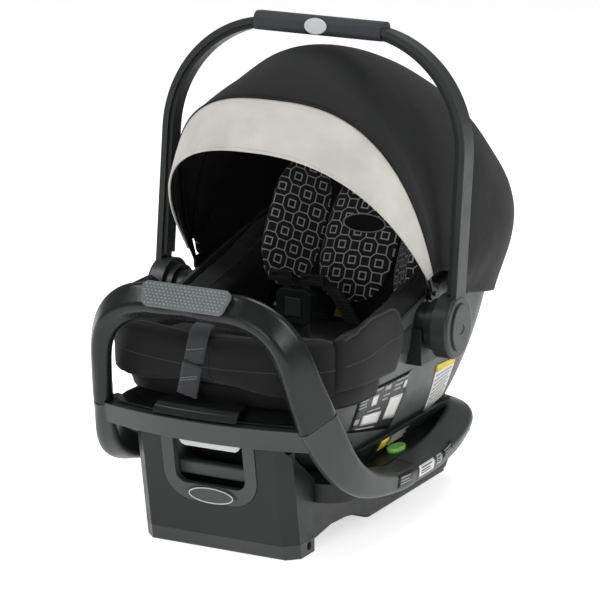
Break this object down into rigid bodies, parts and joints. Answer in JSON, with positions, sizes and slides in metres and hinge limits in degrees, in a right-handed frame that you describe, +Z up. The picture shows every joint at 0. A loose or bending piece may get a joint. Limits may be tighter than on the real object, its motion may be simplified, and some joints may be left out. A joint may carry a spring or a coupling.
{
  "type": "infant car seat",
  "caption": "Rear-facing infant carrier with folding canopy and carry handle, clipped into a base with a rebound bar and an extending foot.",
  "frame": {"origin": "on the floor, on the symmetry plane, straight below the handle axis", "axes": "+X to the right, +Y from the foot end to the head end, +Z up"},
  "size_m": [0.431, 0.6349, 0.6154],
  "materials": {
    "base_plastic": "fine moulded grain, dark grey-green",
    "frame_plastic": "satin mid grey",
    "dark_plastic": "satin near-black",
    "deck_plastic": "glossy black",
    "grip_rubber": "grey rubber with raised lozenges",
    "handle_plastic": "satin dark grey",
    "handle_grip": "soft-touch dark grey",
    "light_plastic": "pale grey",
    "level_window": "green bubble level",
    "button_plastic": "dark grey push button",
    "steel": "plated steel",
    "shell_plastic": "fine grained mid grey",
    "foam": "expanded foam bead surface",
    "pad_fabric": "padded black jersey",
    "insert_fabric": "charcoal jersey with a pale grey lattice",
    "webbing": "black ribbed webbing",
    "canopy_fabric": "black woven canopy fabric",
    "band_fabric": "warm pale grey woven fabric"
  },
  "bodies": {
    "base": {"base_shell": "base_plastic", "sole_plate": "base_plastic", "foot_housing": "base_plastic", "window_frame": "frame_plastic", "front_badge": "frame_plastic", "inner_bar": "frame_plastic", "front_rim": "base_plastic", "rear_rim": "base_plastic", "rebound_bar": "dark_plastic", "rebound_grip_pad": "grip_rubber", "front_deck": "deck_plastic", "latch_rod": "steel", "level_indicator_left": "level_window", "level_indicator_right": "level_window"},
    "foot": {"foot_bar": "base_plastic", "foot_slide": "base_plastic"},
    "foot_release": {"squeeze_handle": "light_plastic", "lock_bar": "steel"},
    "carrier": {"carrier_shell": "shell_plastic", "foam_liner": "foam", "seat_pad": "pad_fabric", "side_pad_left": "pad_fabric", "side_pad_right": "pad_fabric", "front_roll": "pad_fabric", "side_roll_left": "pad_fabric", "side_roll_right": "pad_fabric", "insert_back": "insert_fabric", "insert_wing_left": "insert_fabric", "insert_wing_right": "insert_fabric", "adjuster_strap": "webbing", "adjuster_housing": "steel", "crotch_strap": "webbing", "buckle": "dark_plastic", "tongue_left": "dark_plastic", "tongue_right": "dark_plastic", "shoulder_strap_left": "webbing", "shoulder_strap_right": "webbing", "splitter_plate": "steel", "handle_mount_left": "dark_plastic", "handle_mount_right": "dark_plastic", "canopy_mount_left": "dark_plastic", "canopy_mount_right": "dark_plastic", "latch_bracket": "dark_plastic", "release_housing": "base_plastic", "canopy_rear": "canopy_fabric"},
    "canopy": {"canopy_front": "canopy_fabric", "canopy_band": "band_fabric", "canopy_frame": "dark_plastic"},
    "handle": {"handle_channel": "dark_plastic", "handle_arm_left": "handle_plastic", "handle_arm_right": "handle_plastic", "grip": "handle_grip", "hub_cap_left": "handle_plastic", "hub_cap_right": "handle_plastic"},
    "handle_button": {"grip_button": "light_plastic"},
    "carrier_release": {"release_handle": "base_plastic"},
    "latch": {"latch_hooks": "dark_plastic"},
    "harness_adjuster": {"adjuster_lever": "steel"},
    "buckle_release": {"buckle_button": "button_plastic"}
  },
  "joints": [
    {"name": "carrier_lift", "type": "slide", "parent": "base", "child": "carrier", "axis": [0, 0, 1], "range_m": [0, 0.25]},
    {"name": "foot_extend", "type": "slide", "parent": "base", "child": "foot", "axis": [0, 0.1676, -0.9859], "range_m": [0, 0.075]},
    {"name": "foot_squeeze", "type": "slide", "parent": "base", "child": "foot_release", "axis": [0, -0.1676, 0.9859], "range_m": [0, 0.006], "stiffness_N_per_m": 600, "springref_m": -0.004},
    {"name": "handle_turn", "type": "hinge", "parent": "carrier", "child": "handle", "pos_m": [0, 0, 0.252], "axis": [1, 0, 0], "range_deg": [-95, 60]},
    {"name": "handle_button_press", "type": "slide", "parent": "handle", "child": "handle_button", "axis": [0, 0.9936, -0.1132], "range_m": [0, 0.002], "stiffness_N_per_m": 800, "springref_m": -0.002},
    {"name": "canopy_fold", "type": "hinge", "parent": "carrier", "child": "canopy", "pos_m": [0, 0.02, 0.285], "axis": [-1, 0, 0], "range_deg": [0, 68]},
    {"name": "carrier_release_pull", "type": "slide", "parent": "carrier", "child": "carrier_release", "axis": [0, 0, 1], "range_m": [0, 0.01], "stiffness_N_per_m": 500, "springref_m": -0.006},
    {"name": "latch_turn", "type": "hinge", "parent": "carrier", "child": "latch", "pos_m": [0, 0.096, 0.057], "axis": [1, 0, 0], "range_deg": [-20, 0]},
    {"name": "adjuster_press", "type": "hinge", "parent": "carrier", "child": "harness_adjuster", "pos_m": [0, -0.202, 0.2895], "axis": [1, 0, 0], "range_deg": [0, 10], "stiffness_Nm_per_rad": 0.3, "springref_deg": -5.73},
    {"name": "buckle_press", "type": "slide", "parent": "carrier", "child": "buckle_release", "axis": [0, 1, 0], "range_m": [0, 0.003], "stiffness_N_per_m": 600, "springref_m": -0.001}
  ],
  "couplings": [
    {"joint": "latch_turn", "follows": "carrier_release_pull", "rad_per_m": -34.907}
  ]
}
